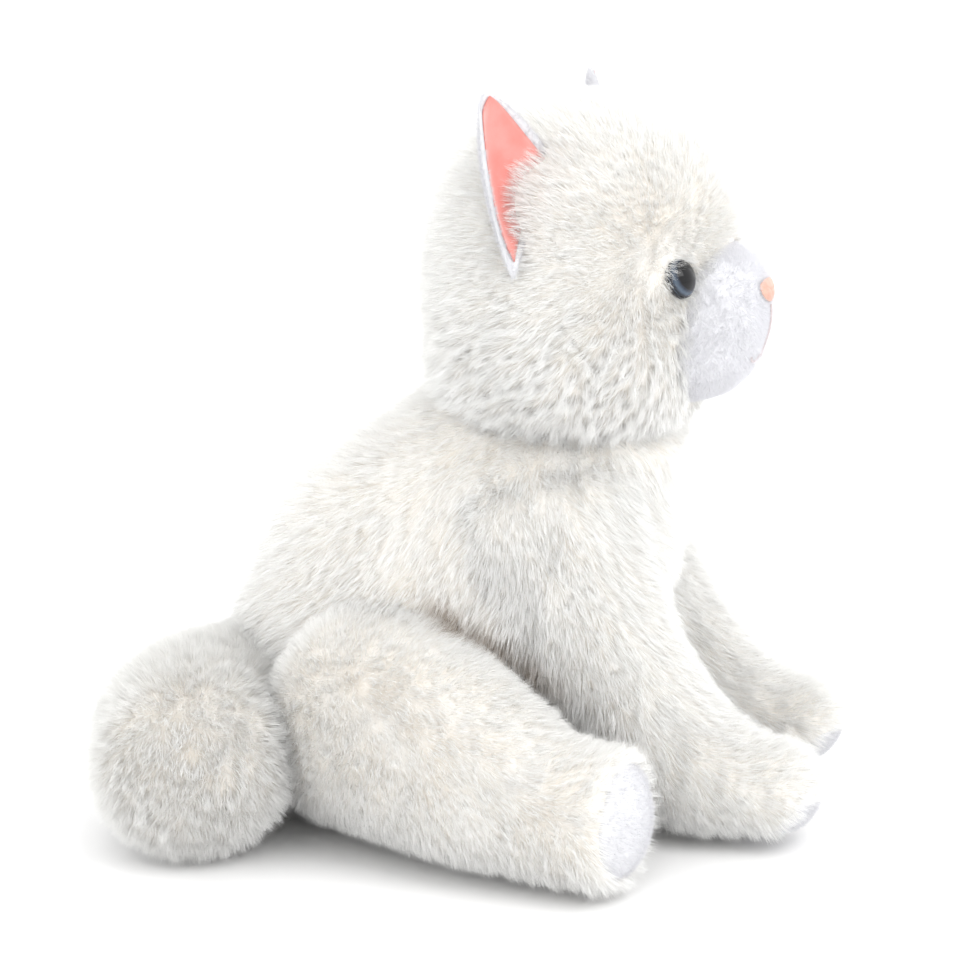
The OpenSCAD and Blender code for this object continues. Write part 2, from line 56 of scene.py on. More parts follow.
def smoothRows(rows, n):
    # a Catmull-Rom curve through the rows, read at n even steps
    rows = np.asarray(rows, float)
    last = len(rows) - 1
    padded = np.vstack([2 * rows[0] - rows[1], rows, 2 * rows[-1] - rows[-2]])
    t = np.linspace(0, last, n)
    k = np.minimum(t.astype(int), last - 1)
    u = (t - k)[:, None]
    a, b, c, d = padded[k], padded[k + 1], padded[k + 2], padded[k + 3]
    square, cube = 2 * a - 5 * b + 4 * c - d, 3 * b - a - 3 * c + d
    return 0.5 * (2 * b + (c - a) * u + square * u ** 2 + cube * u ** 3)


noiseTable = np.random.default_rng(toy["seed"]).uniform(-1, 1, 8192)


def noise(points, size, seed=0):
    # random values on a lattice of the given size, read smoothly between its points: from -1 to 1
    p = points / size + 1000.0
    cell = np.floor(p).astype(np.int64)
    f = p - cell
    f = f * f * (3 - 2 * f)
    total = np.zeros(len(points))
    for corner in range(8):
        bits = np.array([corner & 1, corner >> 1 & 1, corner >> 2 & 1])
        key = ((cell + bits) * np.array([73856093, 19349663, 83492791])).sum(1) + seed * 9176
        weight = np.prod(np.where(bits == 1, f, 1 - f), axis=1)
        total += weight * noiseTable[(key ^ key >> 13) & 8191]
    return total


def noiseSlope(points, size, seed=0):
    # the direction in which the noise grows, by small steps along each axis, times the lattice size
    step = 0.12 * size
    here = noise(points, size, seed)
    return np.stack([(noise(points + step * e, size, seed) - here) / 0.12 for e in np.eye(3)], 1)


# stations are [x, y, z, first half width, second half width] in mm
def ringGrid(stations, n, m, side=None, square=2.0, caps=(0, 0)):
    # a superellipse round each station: level, or square to the stations' line with its first width along side;
    # within a cap's length of an end the widths shrink as sqrt(1 - (1 - s / cap)^2), which rounds the end
    t = (1 - np.cos(np.linspace(0, math.pi, n))) / 2
    fine = smoothRows(stations, 400)
    s = np.stack([np.interp(t, np.linspace(0, 1, 400), fine[:, k]) for k in range(5)], 1)
    centre = s[:, :3]
    run = np.concatenate([[0], np.cumsum(np.linalg.norm(np.diff(centre, axis=0), axis=1))])
    for cap, travel in ((caps[0], run), (caps[1], run[-1] - run)):
        if cap:
            s[:, 3:] *= np.sqrt(1 - (1 - np.clip(travel / cap, 0.002, 1)) ** 2)[:, None]
    angle = np.linspace(0, 2 * math.pi, m, endpoint=False)
    ca, sa = np.cos(angle), np.sin(angle)
    ca, sa = (np.sign(v) * np.abs(v) ** (2 / square) for v in (ca, sa))
    if side is None:
        first, second = np.tile([1.0, 0, 0], (n, 1)), np.tile([0, 1.0, 0], (n, 1))
    else:
        along = unit(np.gradient(np.stack([np.convolve(np.pad(c, 3, "edge"), np.ones(7) / 7, "valid")
                                           for c in centre.T], 1), axis=0))
        first = unit(np.array(side, float) - (along @ np.array(side, float))[:, None] * along)
        second = np.cross(along, first)
    wide, deep = np.maximum(s[:, 3], 0.3), np.maximum(s[:, 4], 0.3)
    return (
        centre[:, None]
        + first[:, None] * (wide[:, None] * ca)[..., None]
        + second[:, None] * (deep[:, None] * sa)[..., None]
    )


def surfaceMesh(name, *grids):
    # for each grid of rings in mm: quads between neighbouring rings and a fan onto one point at each end
    verts, faces, base = [], [], 0
    for grid in grids:
        n, m = grid.shape[:2]
        ring, j = np.meshgrid(np.arange(n - 1), np.arange(m), indexing="ij")
        a, b = base + ring * m + j, base + ring * m + (j + 1) % m
        faces += np.stack([a, b, b + m, a + m], -1).reshape(-1, 4).tolist()
        k, low, last = np.arange(m), base + n * m, base + (n - 1) * m
        faces += np.stack([np.full(m, low), base + (k + 1) % m, base + k], 1).tolist()
        faces += np.stack([np.full(m, low + 1), last + k, last + (k + 1) % m], 1).tolist()
        verts.append(np.vstack([grid.reshape(-1, 3), grid[0].mean(0), grid[-1].mean(0)]))
        base += n * m + 2
    return newMesh(name, np.vstack(verts), faces)


def slabMesh(name, front, back):
    # a closed sheet between two grids of points, with a strip all round its edge
    n, m = front.shape[:2]
    i, j = np.meshgrid(np.arange(n - 1), np.arange(m - 1), indexing="ij")
    a = i * m + j
    faces = np.stack([a, a + 1, a + m + 1, a + m], -1).reshape(-1, 4).tolist()
    faces += (np.stack([a + m, a + m + 1, a + 1, a], -1).reshape(-1, 4) + n * m).tolist()
    index = np.arange(n * m).reshape(n, m)
    rim = np.concatenate([index[0, :-1], index[:-1, -1], index[-1, :0:-1], index[:0:-1, 0]])
    after = np.roll(rim, -1)
    faces += np.stack([after, rim, rim + n * m, after + n * m], 1).tolist()
    return newMesh(name, np.vstack([front.reshape(-1, 3), back.reshape(-1, 3)]), faces)


def newMesh(name, verts, faces):
    # an object at the origin with its faces turned outwards; verts in mm
    mesh = bpy.data.meshes.new(name)
    mesh.from_pydata((verts * mm).tolist(), [], faces)
    mesh.update()
    co, tri, normal = triangles(mesh)
    if np.einsum("ij,ij->i", co[tri[:, 0]], np.cross(co[tri[:, 1]], co[tri[:, 2]])).sum() < 0:
        mesh.flip_normals()
    mesh.shade_smooth()
    obj = bpy.data.objects.new(name, mesh)
    scene.collection.objects.link(obj)
    return obj


def triangles(mesh):
    # vertex places in mm, the three corners of every triangle, and the vertex normals
    mesh.calc_loop_triangles()
    co = np.zeros(len(mesh.vertices) * 3)
    mesh.vertices.foreach_get("co", co)
    tri = np.zeros(len(mesh.loop_triangles) * 3, np.int32)
    mesh.loop_triangles.foreach_get("vertices", tri)
    normal = np.zeros(len(mesh.vertices) * 3, np.float32)
    mesh.vertex_normals.foreach_get("vector", normal)
    return co.reshape(-1, 3) / mm, tri.reshape(-1, 3), normal.reshape(-1, 3).astype(float)


class Form:
    # one stuffed form: its stations, its grid and an estimate of how far outside it a point lies

    def __init__(self, stations, rings, around, side=None, square=2.0, caps=(0, 0), twist=0.0, centre=(0, 0)):
        self.grid = ringGrid(stations, rings, around, side, square, caps)
        if twist:
            self.grid = turned(self.grid, twist, centre)
        self.middle = self.grid.mean(1)

    def outside(self, points):
        # the distance to the nearest ring's middle, less the ring's radius on that side, in mm
        best = np.full(len(points), 1e9)
        for k in range(2, len(self.grid), 5):
            arm = self.grid[k][::4] - self.middle[k]
            away = points - self.middle[k]
            far = np.linalg.norm(away, axis=1)
            flat = unit(away) @ unit(arm).T
            near = flat.argmax(1)
            reach = np.linalg.norm(arm, axis=1)[near]
            tilt = np.clip(flat[np.arange(len(points)), near], 0, 1)
            thin = np.minimum(reach, self.gapTo(k))
            radius = reach * thin / np.sqrt((thin * tilt) ** 2 + (reach ** 2) * (1 - tilt ** 2) + 1e-9)
            best = np.minimum(best, far - radius)
        return best

    def gapTo(self, k):
        # half the ring's own smallest width, so that a flat ring does not reach far along its axis
        arm = np.linalg.norm(self.grid[k] - self.middle[k], axis=1)
        return max(arm.min() * 0.7, 3.0)


def turned(points, degrees, centre):
    # turned about an upright line through centre
    a = math.radians(degrees)
    out = np.array(points, float)
    x, y = out[..., 0] - centre[0], out[..., 1] - centre[1]
    out[..., 0] = centre[0] + x * math.cos(a) - y * math.sin(a)
    out[..., 1] = centre[1] + x * math.sin(a) + y * math.cos(a)
    return out


def mirrored(stations):
    # the same stations on the other side: x changes its sign
    out = np.array(stations, float)
    out[:, 0] *= -1
    return out


def outwards(grid):
    # the outward direction at every grid point, from the directions along and round the form
    along = np.gradient(grid, axis=0)
    around = np.roll(grid, -1, 1) - np.roll(grid, 1, 1)
    out = unit(np.cross(around, along))
    middle = grid.mean(1, keepdims=True)
    return out * np.sign(((grid - middle) * out).sum(-1).sum() + 1e-9)


def swelled(form, others, reach, seed, lumps=(1.0, 0.5)):
    # where another form is near, the skin rises by share (reach - gap)^2 / (3 reach), so that the two meet in a
    # soft valley as stuffed cloth does; two sizes of noise give the unevenness of the stuffing
    grid = form.grid
    flat = grid.reshape(-1, 3)
    rise = np.zeros(len(flat))
    for other, share in others:
        gap = np.clip(np.abs(other.outside(flat)), 0, reach)
        rise = np.maximum(rise, share * (reach - gap) ** 2 / (3 * reach))
    rise += lumps[0] * noise(flat, 24, seed) + lumps[1] * noise(flat, 9, seed + 1)
    ends = np.ones(len(grid))
    ends[0] = ends[-1] = 0.2
    return grid + outwards(grid) * (rise.reshape(grid.shape[:2]) * ends[:, None])[..., None]


def inset(stations, depth):
    # the same form drawn smaller by the height of the pile
    out = np.array(stations, float)
    out[:, 3:] = np.maximum(out[:, 3:] - depth, 1.0)
    return out


def tangent(v, n):
    # the part of v that lies in the surface
    return v - (v * n).sum(1, keepdims=True) * n


def strands(name, skin, look, keep=None, comb=None, seed=0):
    # roots are strewn evenly by area; each strand starts along normal + comb + pull to the tuft's middle +
    # chance, and the bent ones turn halfway up towards the comb and down; every strand tapers to its tip
    co, tri, normal = triangles(skin.data)
    rng = np.random.default_rng(toy["seed"] * 1000 + seed)
    a, b, c = co[tri[:, 0]], co[tri[:, 1]], co[tri[:, 2]]
    area = np.linalg.norm(np.cross(b - a, c - a), axis=1) / 2
    total = look["count"]
    tries = int(total * 2.5) if keep else total
    pick = rng.choice(len(tri), tries, p=area / area.sum())
    r1, r2 = np.sqrt(rng.random(tries)), rng.random(tries)
    bary = np.stack([1 - r1, r1 * (1 - r2), r1 * r2], 1)
    root = (co[tri[pick]] * bary[..., None]).sum(1)
    n = unit((normal[tri[pick]] * bary[..., None]).sum(1))
    chance = rng.random(tries)
    if keep:
        kept = np.flatnonzero(chance < keep(root, n))[:total]
        root, n = root[kept], n[kept]
    count = len(root)
    way = comb(root, n) if comb else np.zeros((count, 3))
    way = tangent(way, n)
    tuft = noise(root, look["tuft"], seed + 3) + 0.5 * noise(root, look["tuft"] / 2, seed + 4)
    slope = noiseSlope(root, look["tuft"], seed + 3) + 0.5 * noiseSlope(root, look["tuft"] / 2, seed + 4)
    pull = tangent(slope, n)
    stray = rng.normal(size=(count, 3))
    swirl = tangent(np.stack([noise(root, look["swirlSize"], seed + k) for k in (5, 6, 7)], 1), n)
    curl = look["curl"](root)[:, None] if "curl" in look else 1.0
    go = unit(n + look["lean"] * way + look["pull"] * curl * pull + look["stray"] * stray
              + look["swirl"] * curl * swirl)
    trimmed = look["trim"](root) if "trim" in look else 1.0
    uneven = 1 + look["uneven"] * (rng.random(count) - 0.5) * 2 + look["tuftRise"] * tuft
    long = look["length"] * trimmed * uneven
    long = np.maximum(long, 0.3 * look["length"])[:, None]
    start = root - 0.6 * n
    bent = rng.random(count) < look["bentShare"]
    middle = start + go * long * 0.5
    bend = unit(go + look["bend"] * way + np.array([0, 0, -look["droop"]])
                + look["stray"] * rng.normal(size=(count, 3)))
    tip = np.where(bent[:, None], middle + bend * long * 0.5, start + go * long)
    across = unit(np.cross(go, n) + 0.7 * tangent(rng.normal(size=(count, 3)), go))
    across = unit(across - (across * go).sum(1, keepdims=True) * go)
    across *= np.sign((np.cross(across, go) * n).sum(1, keepdims=True) + 1e-9)
    half = across * look["width"] / 2 * (0.7 + 0.6 * rng.random((count, 1)))
    for p in (start, middle, tip):
        p[:, 2] = np.maximum(p[:, 2], toy["floorGap"] + 0.5 * chance[:count])
    one, two = np.flatnonzero(~bent), np.flatnonzero(bent)
    verts = np.concatenate([
        np.stack([start[one] - half[one], start[one] + half[one], tip[one]], 1).reshape(-1, 3),
        np.stack([start[two] - half[two], start[two] + half[two], middle[two] + 0.8 * half[two],
                  middle[two] - 0.8 * half[two], tip[two]], 1).reshape(-1, 3),
    ])
    base = len(one) * 3
    k3, k5 = np.arange(len(one)) * 3, base + np.arange(len(two)) * 5
    loops = np.concatenate([
        np.stack([k3, k3 + 1, k3 + 2], 1).ravel(),
        np.stack([k5, k5 + 1, k5 + 2, k5 + 3], 1).ravel(),
        np.stack([k5 + 3, k5 + 2, k5 + 4], 1).ravel(),
    ])
    sizes = np.concatenate([np.full(len(one), 3), np.full(len(two), 4), np.full(len(two), 3)])
    mesh = bpy.data.meshes.new(name)
    mesh.vertices.add(len(verts))
    mesh.vertices.foreach_set("co", (verts * mm).astype(np.float32).ravel())
    mesh.loops.add(len(loops))
    mesh.loops.foreach_set("vertex_index", loops.astype(np.int32))
    mesh.polygons.add(len(sizes))
    mesh.polygons.foreach_set("loop_start", np.concatenate([[0], np.cumsum(sizes)[:-1]]).astype(np.int32))
    mesh.polygons.foreach_set("loop_total", sizes.astype(np.int32))
    shade = rng.random(count) * (creaseShadeFrom - 0.04) + 0.02
    # strands in the crease between thigh and belly carry how deep they lie in u, and the fur material mixes painted
    # shade into them by that depth
    if "gap" in look:
        deep = look["gap"](root)
        shade = np.where(deep > 0.02, creaseShadeFrom + (0.98 - creaseShadeFrom) * deep, shade)
    u = np.concatenate([np.repeat(shade[one], 3), np.repeat(shade[two], 5)])
    v = np.concatenate([np.tile([0.02, 0.02, 0.98], len(one)),
                        np.tile([0.02, 0.02, 0.5, 0.5, 0.98], len(two))])
    uv = mesh.uv_layers.new(name="OFBake")
    uv.data.foreach_set("uv", np.stack([u[loops], v[loops]], 1).astype(np.float32).ravel())
    mesh.update()
    mesh.validate()
    mesh.shade_smooth()
    obj = bpy.data.objects.new(name, mesh)
    scene.collection.objects.link(obj)
    print(name, count, "strands", len(loops) - 2 * len(sizes), "triangles")
    return obj


def material(name, base, other, scale=40.0, rough=0.85, sheen=0.0, bump=0.25, grain=900.0, coat=0.0):
    # two colours mixed by a soft noise on the object's own coordinates, with a finer noise for the grain
    m = bpy.data.materials.new(name)
    m.use_nodes = True
    nodes, links = m.node_tree.nodes, m.node_tree.links
    shader = nodes["Principled BSDF"]
    place = nodes.new("ShaderNodeTexCoord")
    soft = nodes.new("ShaderNodeTexNoise")
    soft.inputs["Scale"].default_value = scale
    soft.inputs["Detail"].default_value = 4
    fine = nodes.new("ShaderNodeTexNoise")
    fine.inputs["Scale"].default_value = grain
    fine.inputs["Detail"].default_value = 3
    ramp = nodes.new("ShaderNodeValToRGB")
    ramp.color_ramp.elements[0].position, ramp.color_ramp.elements[1].position = 0.35, 0.65
    ramp.color_ramp.elements[0].color = (*base, 1)
    ramp.color_ramp.elements[1].color = (*other, 1)
    roughness = nodes.new("ShaderNodeMapRange")
    roughness.inputs["To Min"].default_value = max(rough - 0.08, 0.02)
    roughness.inputs["To Max"].default_value = min(rough + 0.08, 1)
    height = nodes.new("ShaderNodeBump")
    height.inputs["Strength"].default_value = bump
    height.inputs["Distance"].default_value = 0.0006
    for texture in (soft, fine):
        links.new(place.outputs["Object"], texture.inputs["Vector"])
    links.new(soft.outputs["Fac"], ramp.inputs["Fac"])
    links.new(ramp.outputs["Color"], shader.inputs["Base Color"])
    links.new(fine.outputs["Fac"], roughness.inputs["Value"])
    links.new(roughness.outputs["Result"], shader.inputs["Roughness"])
    links.new(fine.outputs["Fac"], height.inputs["Height"])
    links.new(height.outputs["Normal"], shader.inputs["Normal"])
    shader.inputs["Sheen Weight"].default_value = sheen
    shader.inputs["Coat Weight"].default_value = coat
    return m


creaseShadeFrom = 0.84      # strands whose u lies above this grow in the crease between thigh and belly, and get painted shade, a dark brown, towards the root


def furMaterial(name, root, body, tip, rough=0.8):
    # along each strand the colour runs from root to body to tip, times 0.97 to 1.01 from one to the next;
    # strands that grow in the crease between thigh and belly mix with painted shade, a dark brown, by how deep in the
    # crease they are times how near the root it is
    m = bpy.data.materials.new(name)
    m.use_nodes = True
    nodes, links = m.node_tree.nodes, m.node_tree.links
    shader = nodes["Principled BSDF"]
    own = nodes.new("ShaderNodeUVMap")
    own.uv_map = "OFBake"
    parts = nodes.new("ShaderNodeSeparateXYZ")
    ramp = nodes.new("ShaderNodeValToRGB")
    ramp.color_ramp.elements[0].position, ramp.color_ramp.elements[1].position = 0.05, 0.95
    ramp.color_ramp.elements[0].color, ramp.color_ramp.elements[1].color = (*root, 1), (*tip, 1)
    middle = ramp.color_ramp.elements.new(0.4)
    middle.color = (*body, 1)
    vary = nodes.new("ShaderNodeMapRange")
    vary.inputs["To Min"].default_value, vary.inputs["To Max"].default_value = 0.97, 1.01
    mix = nodes.new("ShaderNodeVectorMath")
    mix.operation = "SCALE"
    inGap = nodes.new("ShaderNodeMapRange")
    inGap.inputs["From Min"].default_value, inGap.inputs["From Max"].default_value = creaseShadeFrom, 0.98
    fade = nodes.new("ShaderNodeMapRange")
    fade.inputs["From Min"].default_value, fade.inputs["From Max"].default_value = 1.1, 0.55
    both = nodes.new("ShaderNodeMath")
    both.operation = "MULTIPLY"
    # painted shade: the dark brown that the crease strands mix towards, most at the root
    creaseShadeMix = nodes.new("ShaderNodeMix")
    creaseShadeMix.data_type = "RGBA"
    creaseShadeMix.inputs["B"].default_value = (0.34, 0.25, 0.17, 1)
    links.new(own.outputs["UV"], parts.inputs["Vector"])
    links.new(parts.outputs["Y"], ramp.inputs["Fac"])
    links.new(parts.outputs["X"], vary.inputs["Value"])
    links.new(ramp.outputs["Color"], mix.inputs[0])
    links.new(vary.outputs["Result"], mix.inputs["Scale"])
    links.new(parts.outputs["X"], inGap.inputs["Value"])
    links.new(parts.outputs["Y"], fade.inputs["Value"])
    links.new(inGap.outputs["Result"], both.inputs[0])
    links.new(fade.outputs["Result"], both.inputs[1])
    links.new(both.outputs["Value"], creaseShadeMix.inputs["Factor"])
    links.new(mix.outputs["Vector"], creaseShadeMix.inputs["A"])
    links.new(creaseShadeMix.outputs["Result"], shader.inputs["Base Color"])
    shader.inputs["Roughness"].default_value = rough
    shader.inputs["Sheen Weight"].default_value = 0.25
    shader.inputs["Specular IOR Level"].default_value = 0.2
    return m


def dress(obj, m):
    obj.data.materials.clear()
    obj.data.materials.append(m)
    return obj


print("shaping the stuffed forms")
headTurn = {"degrees": -7.5, "centre": (0.0, -66.0)}

torsoStations = [
    [0, 4, 1.0, 46, 44], [0, 2, 7, 64, 58], [0, 0, 28, 73, 72], [0, -8, 58, 72, 81], [0, -26, 92, 67, 86],
    [0, -32, 120, 61, 77], [0, -48, 142, 55, 64], [0, -58, 158, 47, 52], [0, -62, 172, 36, 38], [0, -64, 180, 22, 24],
]
headStations = [
    [0, -70, 152, 20, 20], [0, -71, 156, 46, 42], [0, -71, 168, 66, 54], [0, -71, 190, 76, 58],
    [0, -73, 215, 76, 61], [0, -74, 240, 67, 59], [0, -72, 260, 50, 46], [0, -70, 270.5, 30, 28], [0, -70, 274, 8, 8],
]
muzzleStations = [
    [0, -106, 165, 8, 14], [0, -108, 167, 20, 23], [0, -109, 176, 28, 31], [0, -109, 192, 31, 37],
    [0, -110, 207, 30, 35], [0, -111, 216, 26, 29], [0, -111, 220.5, 15, 16],
]
frontStations = [
    [36, -58, 140, 22, 26], [38, -62, 124, 27, 35], [40, -76, 92, 28, 34], [42, -98, 56, 27, 31],
    [43, -118, 32, 27, 29], [43, -142, 23, 27, 22.5], [43, -160, 20.5, 25, 20], [43, -171, 19.5, 22, 18.5],
]
hindStations = [
    [48, 20, 46, 36, 36], [58, 8, 46, 43, 42], [74, -14, 46, 44, 42], [88, -38, 41, 41, 38],
    [97, -58, 35.5, 36, 34], [103, -76, 30.5, 30.5, 31], [108, -96, 29, 28.5, 29.5], [112, -114, 29.5, 27.5, 28.5],
]
tailStations = [
    [0, 45, 34, 26, 28], [-20, 61, 34, 31, 36], [-50, 66, 36, 35.5, 40], [-80, 62, 37, 37.5, 40],
    [-104, 56, 36.5, 37, 38], [-127, 49, 35, 35, 35],
]
rise = toy["pileRise"]
around = 72
headTwist = {"twist": headTurn["degrees"], "centre": headTurn["centre"]}
torso = Form(inset(torsoStations, rise), 72, around, square=2.1)
head = Form(inset(headStations, rise), 72, around, square=2.1, **headTwist)
muzzle = Form(inset(muzzleStations, 1.5), 48, 60, square=2.5, **headTwist)
frontLegs = {s: Form(inset(t, rise), 64, 56, side=(1, 0, 0), caps=(20, 14))
             for s, t in (("left", frontStations), ("right", mirrored(frontStations)))}
hindLegs = {s: Form(inset(t, rise), 64, 56, side=(0, 0, 1), square=2.15, caps=(24, 12))
            for s, t in (("left", hindStations), ("right", mirrored(hindStations)))}
tail = Form(inset(tailStations, rise), 64, 56, side=(0, 0, 1), caps=(10, 22))
sides = ("right", "left")


def floorLevel(grid, gap=0.6):
    # nothing is drawn under the floor; what would be is laid flat on it
    out = grid.copy()
    out[..., 2] = np.maximum(out[..., 2], gap)
    return out


print("joining the skins")
weld = toy["weld"]
skinGrids = {
    "torso": swelled(torso, [(frontLegs["left"], 1), (frontLegs["right"], 1), (head, 0.6),
                             (hindLegs["left"], 0.2), (hindLegs["right"], 0.2)], weld, 1),
    "head": swelled(head, [(torso, 0.5)], weld, 2, lumps=(1.0, 0.35)),
    "tail": swelled(tail, [(torso, 0.3)], weld, 3),
}
for s in sides:
    skinGrids["frontLeg" + s.title()] = swelled(frontLegs[s], [(torso, 1)], weld, 4)
    skinGrids["hindLeg" + s.title()] = swelled(hindLegs[s], [(torso, 0.2)], weld, 6)
skins = {name: surfaceMesh(name + "Skin", floorLevel(grid)) for name, grid in skinGrids.items()}
skins["muzzle"] = surfaceMesh("muzzleSkin", swelled(muzzle, [(head, 0.4)], 10, 8, lumps=(0.5, 0.2)))

backing = material("backing", (0.84, 0.79, 0.72), (0.92, 0.90, 0.87), scale=60, rough=0.9, sheen=0.3)
shortBacking = material("shortBacking", (0.68, 0.68, 0.70), (0.72, 0.72, 0.745), scale=70, rough=0.9, sheen=0.1)
plush = furMaterial("longPile", (0.90, 0.87, 0.82), (0.965, 0.962, 0.95), (0.975, 0.977, 0.965))
shortPlush = furMaterial("shortPile", (0.66, 0.66, 0.68), (0.71, 0.71, 0.735), (0.72, 0.72, 0.75))
muzzleBacking = material("muzzleBacking", (0.82, 0.82, 0.84), (0.87, 0.87, 0.89), scale=70, rough=0.9, sheen=0.1)
muzzlePlush = furMaterial("muzzlePile", (0.80, 0.80, 0.82), (0.86, 0.86, 0.885), (0.88, 0.88, 0.91))
for name, skin in skins.items():
    if name == "muzzle":
        dress(skin, muzzleBacking)
    else:
        dress(skin, backing)
print("skins", sum(len(s.data.polygons) for s in skins.values()), "faces")

# count is per piece, lengths in mm; the rest are shares of a strand's own direction or length
longLook = {
    "count": 106000, "length": 9.0, "width": 0.17, "uneven": 0.16, "tuft": 4.5, "tuftRise": 0.08,
    "lean": 0.7, "pull": 0.14, "stray": 0.1, "swirl": 0.16, "swirlSize": 14.0, "bentShare": 0.34,
    "bend": 0.35, "droop": 0.1,
}


def seenOutside(others, depth=7.0):
    # a root keeps its strand unless it lies more than depth inside a neighbouring form
    def keep(root, n):
        share = np.ones(len(root))
        for other in others:
            share[other.outside(root) < -depth] = 0
        return share
    return keep


def allOf(*tests):
    # the product of several tests
    def keep(root, n):
        share = np.ones(len(root))
        for test in tests:
            share = share * test(root, n)
        return share
    return keep


def downwards(root, n):
    # the body's pile lies down and a little back
    return np.tile([0.0, 0.25, -1.0], (len(root), 1))


def alongForm(form):
    # the limbs' pile lies towards the limb's end: the direction of the line of stations at the nearest ring
    middle = form.middle
    way = unit(np.gradient(middle, axis=0))

    def comb(root, n):
        nearest = np.argmin(((root[:, None] - middle[None, ::3]) ** 2).sum(2), axis=1) * 3
        return way[nearest]
    return comb


def fromFace(root, n):
    # the head's pile is brushed away from the nose
    return unit(root - np.array([-8.0, -150.0, 205.0])) + np.array([0, 0, -0.25])


def overEyes(root, n):
    # the same, but behind each eye the pile falls forward again and covers the eye's rim
    way = fromFace(root, n)
    for centre in eyeCentre.values():
        far = root - centre
        near = np.clip(1.4 - np.linalg.norm(far, axis=1) / eye["fringe"], 0, 0.8) * (far[:, 1] > 1)
        way = way * (1 - near[:, None]) + near[:, None] * np.array([0, -eye["forward"], 0])
    return way


def toHead(point, side=1):
    # a point drawn on the left of an unturned head, on its own side of the turned one
    p = np.array(point, float)
    p[..., 0] *= side
    return turned(p, headTurn["degrees"], headTurn["centre"])


sideList = (("right", -1), ("left", 1))
piles = {}

print("colouring the eyes")
eye = {"place": (36.0, -116.5, 212.4), "out": 16.0, "up": 22.0, "bare": 7.2, "cover": 1.2,
       "fringe": 9.0, "forward": 1.3}
eo, eu = math.radians(eye["out"]), math.radians(eye["up"])
eyeLook = np.array([math.cos(eu) * math.sin(eo), -math.cos(eu) * math.cos(eo), math.sin(eu)])
eyeCentre = {}
for side, sign in sideList:
    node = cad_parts["eye_dome_" + side]
    co = triangles(node.data)[0]
    pivot = np.array([0, headTurn["centre"][1], 0])
    out = toHead(eyeLook + pivot, sign) - pivot
    eyeCentre[side] = co[np.argmax(co @ out)]


def eyeMaterial(side):
    # rings of colour by the distance from the middle of the dome: pupil, iris, pale ring, dark edge
    m = material("eyeGloss" + side.title(), (0.01, 0.01, 0.012), (0.02, 0.022, 0.03), rough=0.1, bump=0.02,
                 coat=0.25)
    nodes, links = m.node_tree.nodes, m.node_tree.links
    place = nodes.new("ShaderNodeTexCoord")
    far = nodes.new("ShaderNodeVectorMath")
    far.operation = "DISTANCE"
    far.inputs[1].default_value = tuple(eyeCentre[side] * mm)
    share = nodes.new("ShaderNodeMapRange")
    share.inputs["From Max"].default_value = 0.0092
    flecks = nodes.new("ShaderNodeTexNoise")
    flecks.inputs["Scale"].default_value = 900
    wobble = nodes.new("ShaderNodeMath")
    wobble.operation = "MULTIPLY_ADD"
    wobble.inputs[1].default_value = 0.08
    ramp = nodes.new("ShaderNodeValToRGB")
    stops = ((0.0, (0.003, 0.003, 0.004)), (0.66, (0.005, 0.005, 0.006)), (0.74, (0.03, 0.04, 0.06)),
             (0.86, (0.08, 0.11, 0.15)), (0.93, (0.04, 0.05, 0.07)), (0.99, (0.01, 0.012, 0.015)))
    for k, (at, colour) in enumerate(stops):
        element = ramp.color_ramp.elements[k] if k < 2 else ramp.color_ramp.elements.new(at)
        element.position, element.color = at, (*colour, 1)
    links.new(place.outputs["Object"], far.inputs[0])
    links.new(place.outputs["Object"], flecks.inputs["Vector"])
    links.new(far.outputs["Value"], share.inputs["Value"])
    links.new(flecks.outputs["Fac"], wobble.inputs[0])
    links.new(share.outputs["Result"], wobble.inputs[2])
    links.new(wobble.outputs["Value"], ramp.inputs["Fac"])
    links.new(ramp.outputs["Color"], nodes["Principled BSDF"].inputs["Base Color"])
    nodes["Principled BSDF"].inputs["Specular IOR Level"].default_value = 0.2
    return m


def awayFromEyes(root, n):
    # no pile grows under the eyes
    share = np.ones(len(root))
    for centre in eyeCentre.values():
        far = root - centre
        bare = eye["bare"] - eye["cover"] * np.clip(far[:, 1] / eye["bare"], 0, 1)
        share[np.linalg.norm(far, axis=1) < bare] = 0
    return share


print("cutting the ears")
ear = {"low": (76.3, -70.5, 217.0), "high": (43.7, -73.0, 257.0), "lean": (0.06, 0.34, 0.94), "height": 50.0,
       "cup": 9.0, "thick": 1.6, "lining": 0.86}


def earGrid(v0, edge, off, n=26, m=26):
    # across the fold line by u, up the ear by v; the width runs out as (1 - v^1.5)^0.8 and the middle bulges
    # back as cup (1 - 0.9 u^2) sin(pi v^0.8)
    low, high = np.array(ear["low"]), np.array(ear["high"])
    along, up = high - low, unit(np.array(ear["lean"]))
    span = np.linalg.norm(along)
    b = along / span
    back = unit(np.cross(b, up))
    u, v = np.meshgrid(np.linspace(-edge, edge, m), v0 + (0.99 - v0) * np.linspace(0, 1, n) * (edge + 1) / 2)
    wide = 0.97 * np.maximum(1 - v ** 1.5, 0.004) ** 0.8 + 0.03
    bulge = ear["cup"] * (1 - 0.9 * u * u) * np.sin(math.pi * v ** 0.8)
    across = b * (u * wide * span / 2 - 0.1 * v * span)[..., None]
    return (low + high) / 2 + across + up * (v * ear["height"])[..., None] + back * (off + bulge)[..., None]


print("embroidering the muzzle")
muzzleFine = smoothRows(inset(muzzleStations, 1.5), 300)


def muzzleFront(x, z, off=0.0):
    # the place on the front of the unturned muzzle at side x and height z, raised by off
    yc, wide, deep = (np.interp(z, muzzleFine[:, 2], muzzleFine[:, k]) for k in (1, 3, 4))
    share = np.clip(1 - np.abs(x / wide) ** 2.5, 0.01, 1) ** (1 / 2.5)
    return np.stack([x, yc - deep * share - off, z], -1)


